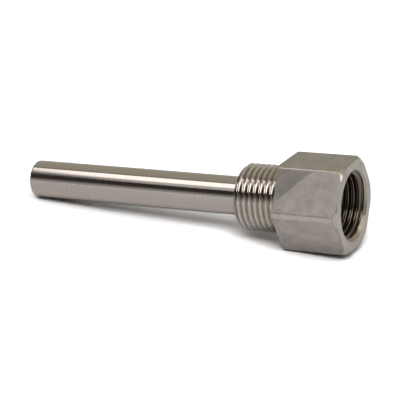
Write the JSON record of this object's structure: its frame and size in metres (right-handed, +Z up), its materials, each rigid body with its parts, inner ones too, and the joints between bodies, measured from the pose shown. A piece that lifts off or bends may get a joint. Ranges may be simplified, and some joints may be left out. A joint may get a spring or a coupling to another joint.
{
  "type": "thermowell",
  "caption": "Closed-end protective pocket for a thermometer, with a round stem, outer pipe thread, hexagon head and threaded socket.",
  "frame": {"origin": "on the surface that the part lies on, under the middle of its box", "axes": "+X from the closed tip towards the open socket, +Z up as the part lies at rest; the part's own axis climbs 4.80 degrees towards +X"},
  "size_m": [0.1116, 0.0304, 0.0286],
  "materials": {
    "stainless_steel": "turned stem and threads, milled hexagon flats, faced open end"
  },
  "bodies": {
    "root": {"thermowell": "stainless_steel"}
  },
  "joints": []
}
